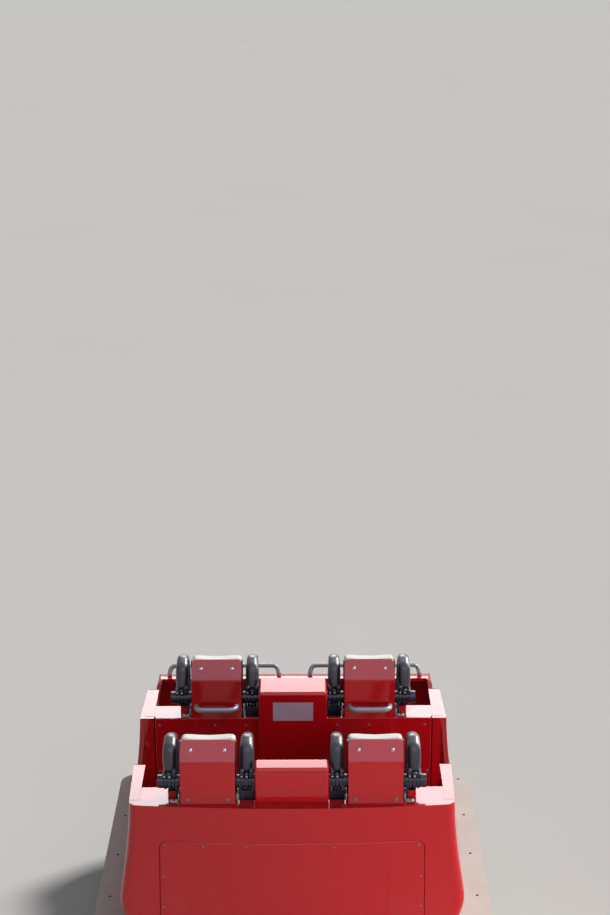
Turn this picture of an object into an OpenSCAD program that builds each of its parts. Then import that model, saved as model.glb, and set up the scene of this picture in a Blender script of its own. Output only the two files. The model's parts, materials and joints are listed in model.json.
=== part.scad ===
// Two-row, four-seat roller coaster car. X is to the right, Y is forward and Z is up.
// The origin is on the ground, under the middle of the car.

/* [Body] */
// Width over the shoulders at the rear corners
body_w = 1900; // [1860:10:1960]
// How much each side widens from the rear corner to the front row
row_swell = 31; // [20:1:36]
// How much each side narrows again from the front row to the cowl
cowl_taper = 36; // [24:1:44]
// How far each side swells outwards below the shoulders
belly = 70; // [40:5:80]
// Height of the shoulder tops above the seat floor
tub_h = 920; // [900:10:960]
// Length from the rear lip to the cowl nose
body_l = 2450; // [2420:10:2500]
// Distance between the two rows
row_pitch = 1093; // [1070:1:1110]
// Lean of the rear panel, measured at its foot
rear_lean = 120; // [60:5:140]
// How far the middle of the rear lip bulges backwards
crown = 50; // [30:2:60]
// Thickness of the moulded walls
wall = 30; // [20:1:34]
// Half width to the inner edge of the shoulder strips
strip_x = 893; // [885:1:900]
// Depth of the wide shoulder behind the rear row
rear_shelf_d = 213; // [190:1:230]
// Depth of the wide shoulder behind the front row
front_shelf_d = 185; // [170:1:220]
// Length of the rear shoulder
rear_shoulder_l = 524; // [480:1:560]
// Length of the front shoulder
front_shoulder_l = 459; // [420:1:500]
// Depth of the side cut for stepping in
entry_drop = 480; // [400:10:520]
// Length of the cowl
cowl_l = 300; // [280:5:320]
// Depth of the cowl top under the shoulders
cowl_drop = 242; // [220:1:280]

/* [Seats] */
// Sideways distance from the middle to a seat centre
seat_x = 489; // [480:1:500]
// Width of a back shell
shell_w = 320; // [300:1:330]
// Height of a back shell
shell_h = 360; // [340:1:380]
// Thickness of a back shell
shell_t = 14; // [10:1:18]
// Width of a seat bucket
bucket_w = 400; // [380:2:410]
// Depth of the seat under the shoulders
pan_drop = 520; // [500:5:560]
// Height of the pad above the shoulders
pad_up = 340; // [320:1:348]
// Half width of the consoles
console_x = 216; // [200:1:218]
// Height of the consoles above the shoulders
console_up = 230; // [220:1:250]
// Width of the blank placard
placard_w = 254; // [200:2:300]
// Height of the blank placard
placard_h = 127; // [100:1:140]

/* [Restraints] */
// Half distance between the two arms
arm_x = 225; // [222:1:228]
// Diameter of the steel arm
arm_d = 42; // [36:1:48]
// Diameter of the padding
arm_pad_d = 74; // [66:1:76]
// Height of the pivot above the shoulders
pivot_up = 100; // [95:1:110]
// Distance of the pivot from the row's rear face
pivot_y = 100; // [98:1:104]
// Diameter of the pivot shaft
shaft_d = 50; // [44:1:54]
// Diameter of the outer drum
drum_d = 104; // [90:1:110]

/* [Running gear] */
// Distance between the rail centres
gauge = 1100; // [1060:10:1140]
// Diameter of the rail tube that the wheels hold
rail_d = 140; // [120:5:140]
// Distance between the axles
axle_base = 1520; // [1500:10:1560]
// Diameter of a running wheel
run_d = 320; // [300:5:320]
// Width of a running wheel
run_w = 120; // [100:5:120]
// Diameter of a side wheel
side_d = 180; // [160:5:180]
// Diameter of an up-stop wheel
up_d = 120; // [110:5:120]
// Thickness of a wheel carrier plate
carrier_t = 30; // [24:1:34]

/* [Reaction plates] */
// How far the plates stand out from the shoulders
plate_out = 280; // [260:5:290]
// Width of a plate
plate_w = 330; // [320:5:340]
// Length of a plate
plate_l = 2390; // [2370:5:2400]
// Thickness of a plate
plate_t = 45; // [40:1:50]
// Depth of the plate tops under the seat floor
plate_under = 40; // [35:1:50]

/* [Tubes] */
// Diameter of the grab bars and handles
bar_d = 32; // [28:1:34]
// Distance between the coupling pins
pin_pitch = 2888; // [2880:1:2900]
// Diameter of a coupling pin hole
pin_d = 40; // [36:1:44]

/* [Hidden] */
$fn = 48;

// Clearances
seat_gap = 0.3;
fit = 0.08;
seam = 4;
foot_under = 5;

// Heights
floor_t = 30;
beam_h = 120;
run_drop = 210;
rail_gap = 1;
up_z = foot_under + up_d / 2;
rail_z = up_z + up_d / 2 + rail_gap + rail_d / 2;
run_z = rail_z + rail_d / 2 + run_d / 2;
floor_z = run_z + run_drop;
shoulder_z = floor_z + tub_h;
beam_top = floor_z - floor_t;
beam_z = beam_top - beam_h;
plate_top = floor_z - plate_under;
plate_z = plate_top - plate_t;

// Places along the car
car_mid = 1105;
rear_y = -car_mid;
front_row_y = rear_y + row_pitch;
nose_y = rear_y + body_l;
cowl_y = nose_y - cowl_l;
rear_foot_y = rear_y - rear_lean;
rear_shoulder_y = rear_y + rear_shoulder_l;
front_shoulder_y = front_row_y + front_shoulder_l;
lip_d = 55;
rear_split = rear_y + lip_d;
split_back = 60;
cowl_split = cowl_y - split_back;
half_w = body_w / 2;
row_x = half_w + row_swell;
plate_x = half_w + plate_out;

// A polygon whose corners are rounded. Columns of p: x, y, radius.
function unit(v) = v / norm(v);
function corner(a, b, c, r, n) =
    let (u = unit(a - b), v = unit(c - b), half = acos(u * v) / 2,
        t = r / tan(half), m = b + unit(u + v) * r / sin(half),
        s = b + u * t - m, e = b + v * t - m,
        a0 = atan2(s.y, s.x), a1 = atan2(e.y, e.x),
        turn = a1 - a0 > 180 ? a1 - a0 - 360 : a1 - a0 < -180 ? a1 - a0 + 360 : a1 - a0)
    [for (i = [0 : n]) m + r * [cos(a0 + turn * i / n), sin(a0 + turn * i / n)]];
function rounded(p, n = 6) = [for (i = [0 : len(p) - 1])
    let (a = p[(i + len(p) - 1) % len(p)], b = p[i], c = p[(i + 1) % len(p)])
    each b[2] > 0 ? corner([a.x, a.y], [b.x, b.y], [c.x, c.y], b[2], n) : [[b.x, b.y]]];

// A solid of constant section along X. The section's points are y and z.
module along_x(x0, x1) {
    translate([x0, 0, 0]) rotate([90, 0, 90]) linear_extrude(x1 - x0) children();
}

// A solid of constant section along Y. The section's points are x and z.
module along_y(y0, y1) {
    translate([0, y1, 0]) rotate([90, 0, 0]) linear_extrude(y1 - y0) children();
}

module box(lo, hi) {
    translate(lo) cube(hi - lo);
}

module both_sides() {
    children();
    mirror([1, 0, 0]) children();
}

// A round bar of radius r along the points p, which lie in one plane with the given
// normal. Each inner point is bent at radius b.
bar_sides = 16;
bend_steps = 5;
function bend_arc(a, p, c, b) =
    let (u = unit(p - a), v = unit(c - p), turn = acos(u * v),
        m = p + unit(v - u) * b / cos(turn / 2),
        x = unit(p - u * b * tan(turn / 2) - m))
    [for (k = [0 : bend_steps]) m + b * (cos(turn * k / bend_steps) * x
        + sin(turn * k / bend_steps) * u)];
function bent_path(p, b) = [for (i = [0 : len(p) - 1])
    each i == 0 || i == len(p) - 1 ? [p[i]] : bend_arc(p[i - 1], p[i], p[i + 1], b)];
function path_way(c, i) = unit((i < len(c) - 1 ? unit(c[i + 1] - c[i]) : [0, 0, 0])
    + (i > 0 ? unit(c[i] - c[i - 1]) : [0, 0, 0]));
module bent_bar(p, b, r, normal) {
    c = bent_path(p, b);
    s = bar_sides;
    n = len(c);
    rings = [for (i = [0 : n - 1]) let (side = cross(path_way(c, i), normal))
        for (k = [0 : s - 1]) c[i] + r * (cos(360 * k / s) * normal
            + sin(360 * k / s) * side)];
    sides = [for (i = [0 : n - 2]) for (k = [0 : s - 1])
        [(i + 1) * s + k, (i + 1) * s + (k + 1) % s, i * s + (k + 1) % s, i * s + k]];
    polyhedron(points = rings, faces = concat(sides, [[for (k = [0 : s - 1]) k],
        [for (k = [s - 1 : -1 : 0]) (n - 1) * s + k]]));
}

// The tub is what lies inside its two flanks, its side view, its plan and its rear face.
// A flank's section, measured from its top edge. Columns: out, height, radius.
tuck = 40;
belly_up = 320;
belly_r = 200;
chine_r = 60;
flank_d = 200;
flank_out = 6;
over = 400;
far = body_l + over;
module flank(x, y, turn, in) {
    translate([x, y, 0]) rotate([0, 0, turn]) along_y(-far, far) polygon(rounded([
        [-2 * body_w, floor_z - 1, 0], [-tuck - in, floor_z - 1, chine_r],
        [belly - in, floor_z + belly_up, belly_r],
        [flank_out - in, shoulder_z - flank_d, far], [-in, shoulder_z + 1, 0],
        [-2 * body_w, shoulder_z + 1, 0]]));
}
module rear_flanks(in) {
    intersection_for(s = [0, 1]) mirror([s, 0, 0])
        flank(half_w, rear_y, -atan(row_swell / row_pitch), in);
}
module front_flanks(in) {
    intersection_for(s = [0, 1]) mirror([s, 0, 0])
        flank(row_x, front_row_y, atan(cowl_taper / (cowl_y - front_row_y)), in);
}

// The side view. Columns: place along the car, height, radius.
foot_up = 250;
foot_r = 220;
foot_in = 60;
lip_r = 60;
step_r = 90;
shoulder_slope = 60;
cowl_slope = 130;
cowl_fall = 12;
nose_drop = 240;
nose_r = 160;
nose_in = 50;
module tub_side() {
    polygon(rounded([
        [rear_foot_y - crown + foot_in, floor_z - 1, chine_r],
        [rear_foot_y - crown - 1, floor_z + foot_up, foot_r],
        [rear_y - crown - 1, shoulder_z, 0],
        [rear_shoulder_y, shoulder_z, lip_r],
        [rear_shoulder_y + shoulder_slope, shoulder_z - entry_drop, step_r],
        [front_row_y - shoulder_slope, shoulder_z - entry_drop, step_r],
        [front_row_y, shoulder_z, 0],
        [front_shoulder_y, shoulder_z, lip_r],
        [front_shoulder_y + shoulder_slope, shoulder_z - entry_drop, step_r],
        [cowl_y - cowl_slope, shoulder_z - entry_drop, step_r],
        [cowl_y, shoulder_z - cowl_drop, 20],
        [cowl_y + cowl_l / 2, shoulder_z - cowl_drop - cowl_fall, step_r],
        [nose_y, shoulder_z - cowl_drop - nose_drop, nose_r],
        [nose_y - nose_in, floor_z - 1, chine_r]]));
}

// The inside, open at the top behind the cowl. Columns as above.
module tub_side_inside() {
    polygon(rounded([
        [rear_foot_y - crown + foot_in + wall, floor_z - 2, chine_r],
        [rear_foot_y - crown + wall, floor_z + foot_up, foot_r],
        [rear_y - crown + wall, shoulder_z + 5, 0], [cowl_y + wall, shoulder_z + 5, 0],
        [cowl_y + wall, shoulder_z - cowl_drop - wall, 6],
        [cowl_y + cowl_l / 2, shoulder_z - cowl_drop - cowl_fall - wall, step_r],
        [nose_y - wall, shoulder_z - cowl_drop - nose_drop, nose_r - wall],
        [nose_y - nose_in - wall, floor_z - 2, chine_r]]));
}

// The plan rounds the nose. Columns: half width, place along the car, radius.
nose_corner = 200;
nose_bow = 600;
plan_out = belly + row_swell + 20;
module tub_top(in) {
    s = [[half_w + plan_out, rear_foot_y - far, 0],
        [half_w + plan_out - in, nose_y - nose_corner * 0.75 - in, nose_corner],
        [half_w * 0.44, nose_y + 2 - in, nose_bow]];
    polygon(rounded(concat(s, [for (i = [len(s) - 1 : -1 : 0])
        [-s[i].x, s[i].y, s[i][2]]])));
}

// The rear face leans forwards and is crowned: its arc is extruded along the lean.
crown_steps = 12;
module tub_rear(in) {
    lean = atan(rear_lean / (tub_h - foot_up));
    translate([0, rear_y, shoulder_z]) rotate([-lean, 0, 0])
        translate([0, 0, -2 * tub_h]) linear_extrude(4 * tub_h) polygon(concat(
            [for (i = [-crown_steps : crown_steps]) let (k = i / (crown_steps - 2))
                [k * half_w, crown * (k * k - 1) + in]],
            [[2 * half_w, far], [-2 * half_w, far]]));
}

module tub_outer() {
    intersection() {
        along_x(-half_w - plan_out, half_w + plan_out) tub_side();
        rear_flanks(0);
        front_flanks(0);
        translate([0, 0, floor_z - 10]) linear_extrude(tub_h + 20) tub_top(0);
        tub_rear(0);
    }
}
module tub_inner() {
    intersection() {
        along_x(-half_w - plan_out, half_w + plan_out) tub_side_inside();
        rear_flanks(wall);
        front_flanks(wall);
        translate([0, 0, floor_z - 12]) linear_extrude(tub_h + 30) tub_top(wall);
        tub_rear(wall);
    }
}
module tub_part(lo, hi) {
    intersection() {
        tub_outer();
        box(lo, hi);
    }
}
module tub_wall(lo, hi) {
    difference() {
        tub_part(lo, hi);
        tub_inner();
    }
}

wide = half_w + plan_out;
top = shoulder_z + 10;
low_y = rear_foot_y - crown - 10;
skin = 25;
dip = 4;
groove = 6;
shelf_x = seat_x + arm_x - 14;

// Panels
pan_in = 50;
module floor_pan() {
    color("dimgray") intersection() {
        translate([0, 0, floor_z - floor_t]) linear_extrude(floor_t - seat_gap) tub_top(pan_in);
        box([-half_w + pan_in, rear_foot_y + foot_in, 0],
            [half_w - pan_in, nose_y - nose_in - pan_in / 2, top]);
    }
}

cowl_r = 45;
cowl_out = 10;
module front_cowl() {
    x = half_w + cowl_out;
    color("firebrick") intersection() {
        tub_wall([-wide, cowl_split, floor_z], [wide, nose_y + wall, top]);
        along_y(cowl_split, nose_y + wall) polygon(rounded([
            [-x, shoulder_z - cowl_drop, cowl_r], [x, shoulder_z - cowl_drop, cowl_r],
            [x + belly, floor_z + belly_up, 0], [wide + belly, floor_z - 10, 0],
            [-wide - belly, floor_z - 10, 0], [-x - belly, floor_z + belly_up, 0]]));
    }
}

// Columns: rear end, end of the wide shelf, end of the strip.
shelves = [[rear_split + seam, rear_y + rear_shelf_d, rear_shoulder_y - 20],
    [front_row_y + wall + seam, front_row_y + front_shelf_d, front_shoulder_y - 20]];
module side_panel() {
    color("firebrick") {
        tub_wall([0, rear_split + seam, floor_z], [wide, cowl_split - seam, top]);
        for (s = shelves) {
            tub_part([shelf_x, s[0], shoulder_z - skin], [strip_x + 1, s[1], shoulder_z - dip]);
            tub_part([shelf_x, s[1] - skin, shoulder_z - pan_drop],
                [wide - 1, s[1], shoulder_z - dip]);
            tub_part([strip_x, s[0], shoulder_z - skin], [wide - 1, s[2], shoulder_z]);
        }
        tub_part([strip_x, front_row_y - 1, floor_z], [wide - 1, front_row_y + wall, top]);
    }
}
module right_side_panel() {
    side_panel();
}
module left_side_panel() {
    mirror([1, 0, 0]) side_panel();
}

module bulkhead_panel() {
    x = strip_x - groove;
    color("firebrick") along_y(front_row_y, front_row_y + wall) polygon(rounded([
        [-x, shoulder_z, 0], [x, shoulder_z, 0], [x, floor_z, chine_r],
        [-x, floor_z, chine_r]]));
}

// The hatch in the rear panel. Columns: half width, height, radius.
hatch_x = 775;
hatch_drop = 205;
hatch_up = 110;
hatch_r = 45;
module hatch_outline(in) {
    low = floor_z + hatch_up + in;
    high = shoulder_z - hatch_drop - in;
    polygon(rounded([[hatch_x - in, low, hatch_r], [hatch_x - in, high, hatch_r],
        [-hatch_x + in, high, hatch_r], [-hatch_x + in, low, hatch_r]]));
}

module rear_panel() {
    color("firebrick") difference() {
        union() {
            tub_wall([-wide, low_y, floor_z], [wide, rear_split, top]);
            tub_part([-half_w + 1, low_y, shoulder_z - skin], [half_w - 1, rear_split, top]);
        }
        along_y(low_y, rear_split + 30) hatch_outline(0);
    }
}

module rear_hatch() {
    color("firebrick") intersection() {
        tub_wall([-wide, low_y, floor_z], [wide, rear_split, top]);
        along_y(low_y, rear_split + 30) hatch_outline(seat_gap);
    }
}

// Consoles. Columns: place along the car, height, radius.
ledge = 20;
console_d = 115;
console_rise = 13;
console_low = 300;
console_tail = 80;
console_back = 84;
console_r = 22;
module rear_console() {
    y = rear_y + ledge;
    hook = rear_split + seat_gap;
    color("firebrick") along_x(-console_x, console_x) polygon(rounded([
        [y, shoulder_z + seat_gap, 0], [y, shoulder_z + console_up - console_rise, console_r],
        [y + console_d, shoulder_z + console_up, console_r],
        [y + console_d, shoulder_z - console_low, console_r / 2],
        [hook, shoulder_z - console_low, 0], [hook, shoulder_z + seat_gap, 0]]));
}
module front_console() {
    y = front_row_y - seat_gap;
    hook = front_row_y + wall + seat_gap;
    back = front_row_y - console_back;
    low = shoulder_z - console_low - console_tail;
    color("firebrick") along_x(-console_x, console_x) polygon(rounded([
        [back, low, 6], [back, shoulder_z + console_up - console_rise, console_r],
        [front_row_y + console_d, shoulder_z + console_up + 10, console_r],
        [front_row_y + console_d, shoulder_z - console_low, console_r / 2],
        [hook, shoulder_z - console_low, 0], [hook, shoulder_z + seat_gap, 0],
        [y, shoulder_z + seat_gap, 0], [y, low, 6]]));
}
placard_up = 89;
placard_t = 2;
module blank_placard() {
    face = front_row_y - console_back - seat_gap;
    mid = shoulder_z + placard_up;
    color("silver") box([-placard_w / 2, face - placard_t, mid - placard_h / 2],
        [placard_w / 2, face, mid + placard_h / 2]);
}

// Seats. A shell's section is made of its rear and front outline. The foot is how far
// its lowest band turns backwards.
bend_up = 250;
bend_r = 40;
foot_band = 45;
shell_lean = 34;
shell_corner = 30;
back_y = 130;
shell_top_y = back_y - seat_gap;
module seat_shell(y, start, foot) {
    top_z = shoulder_z + shell_h;
    rear = foot > 0
        ? [[y + start - foot, shoulder_z + seat_gap, 0], [y + start, shoulder_z + foot_band, 8]]
        : [[y + start, shoulder_z + seat_gap, 0]];
    intersection() {
        along_x(-shell_w / 2, shell_w / 2) polygon(rounded(concat(rear, [
            [y + shell_lean, shoulder_z + bend_up, bend_r],
            [y + shell_top_y - shell_t, top_z, 4],
            [y + shell_top_y, top_z - 4, 4],
            [y + shell_lean + shell_t, shoulder_z + bend_up - 8, bend_r]],
            [for (i = [len(rear) - 1 : -1 : 0]) [rear[i].x + shell_t, rear[i].y, rear[i][2]]])));
        along_y(y - lip_d, y + back_y) polygon(rounded([[-shell_w / 2, shoulder_z, 0],
            [-shell_w / 2, top_z, shell_corner], [shell_w / 2, top_z, shell_corner],
            [shell_w / 2, shoulder_z, 0]]));
    }
}
module front_seat_shells() {
    color("firebrick") both_sides() translate([seat_x, 0, 0]) seat_shell(front_row_y, 0, 0);
}
module rear_seat_shells() {
    color("firebrick") both_sides() translate([seat_x, 0, 0])
        seat_shell(rear_y, ledge + 6, ledge);
}

back_t = 35;
pan_l = 560;
back_top = 20;
pan_rise = 30;
pan_r = 60;
side_drop = 60;
side_gap = 6;
module seat_bucket(y) {
    pan_z = shoulder_z - pan_drop;
    mid_w = shell_w / 2 + side_gap;
    along_x(-mid_w, mid_w) polygon(rounded([
        [y + back_y, floor_z + seat_gap, 0], [y + back_y, shoulder_z + shell_h - back_top, 10],
        [y + back_y + back_t, shoulder_z + shell_h - back_top, 10],
        [y + back_y + back_t, pan_z, pan_r], [y + pan_l, pan_z + pan_rise, pan_rise],
        [y + pan_l - pan_rise, floor_z + seat_gap, 0]]));
    for (s = [0, 1]) mirror([s, 0, 0]) along_x(mid_w - 1, bucket_w / 2) polygon(rounded([
        [y + back_y, floor_z + seat_gap, 0], [y + back_y, shoulder_z - side_drop, 20],
        [y + back_y + 4 * back_t, shoulder_z - side_drop, 2 * back_t],
        [y + back_y + 5 * back_t, pan_z + 5 * back_t, 3 * back_t],
        [y + pan_l, pan_z + 3 * back_t, 2 * pan_rise],
        [y + pan_l - pan_rise, floor_z + seat_gap, 0]]));
}
module front_seat_buckets() {
    color("dimgray") both_sides() translate([seat_x, 0, 0]) seat_bucket(front_row_y);
}
module rear_seat_buckets() {
    color("dimgray") both_sides() translate([seat_x, 0, 0]) seat_bucket(rear_y);
}

pad_y = back_y + back_t + seat_gap;
pad_t = 90;
pad_r = 30;
pad_low = 90;
pad_sag = 9;
module seat_pad(x, y) {
    low = shoulder_z - pan_drop + pad_low;
    high = shoulder_z + pad_up;
    color("gainsboro") translate([x, 0, 0]) intersection() {
        along_x(-shell_w / 2, shell_w / 2) polygon(rounded([
            [y + pad_y, low, pad_r / 2], [y + pad_y, high - pad_sag, pad_r / 2],
            [y + pad_y + pad_t, high + 1, pad_r],
            [y + pad_y + pad_t - pad_r, low, pad_r / 2]]));
        along_y(y + pad_y - 10, y + pad_y + pad_t + 10) polygon(rounded([
            [-shell_w / 2, low, pad_r], [-shell_w / 2, high, pad_r],
            [-shell_w / 4, high, 2 * pad_r], [0, high - pad_sag, 4 * pad_r],
            [shell_w / 4, high, 2 * pad_r], [shell_w / 2, high, pad_r],
            [shell_w / 2, low, pad_r]]));
    }
}
module front_left_pad() {
    seat_pad(-seat_x, front_row_y);
}
module front_right_pad() {
    seat_pad(seat_x, front_row_y);
}
module rear_left_pad() {
    seat_pad(-seat_x, rear_y);
}
module rear_right_pad() {
    seat_pad(seat_x, rear_y);
}

// A plate beside each edge of a seat back, from the shell to the bucket.
bracket_t = 8;
bracket_up = 50;
bracket_low = 50;
module seat_bracket(y) {
    x = shell_w / 2 + side_gap + seat_gap;
    for (s = [0, 1]) mirror([s, 0, 0]) along_x(x, x + bracket_t) polygon(rounded([
        [y + ledge + 10, shoulder_z + seat_gap, 8], [y + ledge + 10, shoulder_z + bracket_up, 15],
        [y + back_y + back_t, shoulder_z + bracket_up, 15],
        [y + back_y + back_t, shoulder_z - bracket_low, 8],
        [y + lip_d + 15, shoulder_z - bracket_low, 8],
        [y + lip_d + 15, shoulder_z + seat_gap, 0]]));
}
module seat_brackets() {
    color("silver") both_sides() for (y = [rear_y, front_row_y])
        translate([seat_x, 0, 0]) seat_bracket(y);
}

// Grab bars and handles
handle_up = 88;
handle_out = 63;
handle_x = 128;
handle_bend = 45;
module back_handles() {
    foot = front_row_y + shell_lean * (handle_up - bar_d / 2) / bend_up - seat_gap;
    color("slategray") both_sides() bent_bar([
        [seat_x - handle_x, foot, shoulder_z + handle_up],
        [seat_x - handle_x, front_row_y - handle_out, shoulder_z + handle_up],
        [seat_x + handle_x, front_row_y - handle_out, shoulder_z + handle_up],
        [seat_x + handle_x, foot, shoulder_z + handle_up]], handle_bend, bar_d / 2,
        [0, 0, 1]);
}
bar_z = shoulder_z - cowl_drop;
grab_in = 108;
grab_side = 65;
grab_y = 90;
grab_lean = 35;
grab_up = 54;
grab_slope = 16;
grab_bend = 40;
module grab_bars() {
    fall = [0, cowl_fall / (cowl_l / 2), 1];
    way = unit([grab_slope, grab_lean, grab_up]);
    low = bar_z - fall.y * grab_y + bar_d / 2 * norm(fall - (fall * way) * way) + seat_gap;
    x0 = grab_in;
    x1 = half_w - grab_side;
    color("slategray") both_sides() bent_bar([
        [x0, cowl_y + grab_y, low],
        [x0 + grab_slope, cowl_y + grab_y + grab_lean, low + grab_up],
        [x1 - grab_slope, cowl_y + grab_y + grab_lean, low + grab_up],
        [x1, cowl_y + grab_y, low]], grab_bend, bar_d / 2, unit([0, grab_up, -grab_lean]));
}

// Restraints. The path is in the plane of the arm: place and height from the pivot.
ring_r = 46;
hub_r = 40;
hub_w = 60;
rib_w = 14;
shaft_gap = 3;
arm_path = [[15, 95], [45, 190], [130, 225], [250, 175], [325, 40], [340, -260]];
arm_bend = 50;
function row_pivot(y) = [0, y + pivot_y, shoulder_z + pivot_up];

pad_start = [15, 95] * 0.64;
pad_end = [335, -160];
module restraint(x, y) {
    p = row_pivot(y);
    low = arm_path[len(arm_path) - 1];
    way = unit(low - pad_end);
    color("black") {
        bent_bar([for (q = [[-1, pad_end + way * seat_gap], [-1, low], [1, low],
            [1, pad_end + way * seat_gap]]) [x + q[0] * arm_x, p.y + q[1].x, p.z + q[1].y]],
            arm_bend, arm_d / 2, [0, -way.y, way.x]);
        for (s = [-1, 1]) difference() {
            union() {
                translate([x + s * arm_x - hub_w / 2, p.y, p.z]) rotate([0, 90, 0])
                    cylinder(h = hub_w, r = hub_r);
                for (k = [0 : 2]) translate([x + s * arm_x + (k - 1) * (hub_w - rib_w) / 2
                    - rib_w / 2, p.y, p.z]) rotate([0, 90, 0])
                    cylinder(h = rib_w, r = ring_r);
                translate([x + s * arm_x, p.y, p.z])
                    rotate([-atan2(pad_start.x, pad_start.y), 0, 0])
                    cylinder(h = norm(pad_start) - seat_gap, d = arm_d);
            }
            translate([x + s * arm_x - hub_w / 2 - 1, p.y, p.z])
                rotate([0, 90, 0]) cylinder(h = hub_w + 2, d = shaft_d + 2 * fit);
        }
    }
}
module front_left_restraint() {
    restraint(-seat_x, front_row_y);
}
module front_right_restraint() {
    restraint(seat_x, front_row_y);
}
module rear_left_restraint() {
    restraint(-seat_x, rear_y);
}
module rear_right_restraint() {
    restraint(seat_x, rear_y);
}

// The padding covers each arm from above the hub down to the chest bar.
module arm_pads(x, y) {
    p = row_pivot(y);
    n = len(arm_path);
    path = [for (i = [-1 : n - 1]) i < 0 ? pad_start : i < n - 1 ? arm_path[i] : pad_end];
    color("black") for (s = [-1, 1])
        bent_bar([for (q = path) [x + s * arm_x, p.y + q.x, p.z + q.y]], arm_bend,
            arm_pad_d / 2, [1, 0, 0]);
}
module front_left_arm_pads() {
    arm_pads(-seat_x, front_row_y);
}
module front_right_arm_pads() {
    arm_pads(seat_x, front_row_y);
}
module rear_left_arm_pads() {
    arm_pads(-seat_x, rear_y);
}
module rear_right_arm_pads() {
    arm_pads(seat_x, rear_y);
}

// The fixed shaft of each seat, with its bearings, its collars and the outer drum.
cheek_t = 12;
cheek_r = 43;
bearing_low = 45;
bearing_back = 30;
collar_d = 80;
drum_w = 38;
lug_x = 100;
lug_w = 50;
lug_h = 60;
module bearing(p, x, low, cheeks) {
    start = x - hub_w / 2 - shaft_gap;
    for (s = cheeks) along_x(s < 0 ? start - cheek_t : start + hub_w + 2 * shaft_gap,
        s < 0 ? start : start + hub_w + 2 * shaft_gap + cheek_t) polygon(rounded([
            [p.y - bearing_back, low, 8], [p.y - cheek_r, p.z - 5, 20],
            [p.y - cheek_r + 3, p.z + cheek_r, cheek_r * 0.9],
            [p.y + cheek_r - 20, p.z + cheek_r, cheek_r * 0.5],
            [p.y + back_y - pivot_y - 4, p.z - 10, 6], [p.y + back_y - pivot_y - 4, low, 8]]));
    box([start - 1, p.y - bearing_back, low],
        [start + hub_w + 2 * shaft_gap + 1, p.y + back_y - pivot_y - 4,
        p.z - ring_r - shaft_gap]);
}
module seat_pivot(y) {
    p = row_pivot(y);
    inner = seat_x - arm_x - hub_w / 2;
    outer = seat_x + arm_x + hub_w / 2;
    module rod(x0, x1, d) {
        translate([x0, p.y, p.z]) rotate([0, 90, 0]) cylinder(h = x1 - x0, d = d);
    }
    rod(inner - shaft_gap - 2, outer + shaft_gap + 2, shaft_d);
    rod(outer + shaft_gap, outer + shaft_gap + drum_w, drum_d);
    rod(inner + hub_w + shaft_gap, seat_x - shell_w / 2 - side_gap, collar_d);
    rod(seat_x + shell_w / 2 + side_gap, outer - hub_w - shaft_gap, collar_d);
    bearing(p, seat_x - arm_x, shoulder_z - bearing_low, [-1, 1]);
    bearing_foot = shoulder_z - dip + seat_gap;
    bearing(p, seat_x + arm_x, bearing_foot, [-1]);
    for (s = [-1, 1]) translate([seat_x + s * lug_x - lug_w / 2, p.y, p.z - lug_h / 2])
        cube([lug_w, back_y - pivot_y - seat_gap, lug_h]);
}
module restraint_pivots() {
    color("navy") both_sides() {
        seat_pivot(front_row_y);
        seat_pivot(rear_y);
    }
}

// Chassis. The cross beams stand clear of the running wheels.
spine_x = 130;
beam_w = 60;
beam_gap = 15;
beam_off = run_d / 2 + beam_gap + beam_w / 2;
beam_ys = [for (s = [-1, 1]) for (k = [-1, 1]) s * axle_base / 2 + k * beam_off];
plate_tail = 280;
arm_in = 50;
tongue_l = 219;
clevis_l = 299;
plate_y = rear_y - plate_tail;
spine_front = pin_pitch / 2 - tongue_l;
spine_rear = -pin_pitch / 2 + clevis_l;
module chassis_frame() {
    reach = plate_x - plate_w - beam_gap;
    color("dimgray") {
        box([-spine_x, spine_rear, beam_z], [spine_x, spine_front, beam_top - seat_gap]);
        for (y = beam_ys) {
            box([-reach, y - beam_w / 2, beam_z], [reach, y + beam_w / 2,
                beam_top - seat_gap]);
            box([-plate_x + arm_in, y - beam_w / 2, beam_z], [plate_x - arm_in,
                y + beam_w / 2, plate_z]);
        }
    }
}

plate_r = 100;
plate_hole_in = 76;
plate_hole_d = 18;
plate_skin = 12;
plate_inset = 6;
plate_bolts = 5;
first_bolt = 332;
last_bolt = 79;
bolt_step = (plate_l - first_bolt - last_bolt) / (plate_bolts - 1);
module plate_layer(in, z0, z1) {
    inner = plate_x - plate_w;
    translate([0, 0, plate_z + z0]) linear_extrude(z1 - z0) polygon(rounded([
        [inner + in, plate_y + in, plate_r * 0.3], [plate_x - in, plate_y + in, plate_r],
        [plate_x - in, plate_y + plate_l - in, plate_r],
        [inner + in, plate_y + plate_l - in, plate_r * 0.3]]));
}
module reaction_plates() {
    color("lightgray") both_sides() difference() {
        union() {
            plate_layer(0, 0, plate_skin);
            plate_layer(plate_inset, plate_skin - 1, plate_t - plate_skin + 1);
            plate_layer(0, plate_t - plate_skin, plate_t);
        }
        for (i = [0 : plate_bolts - 1]) translate([plate_x - plate_hole_in,
            plate_y + first_bolt + i * bolt_step, plate_z - 1])
            cylinder(h = plate_t + 2, d = plate_hole_d);
    }
}

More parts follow.
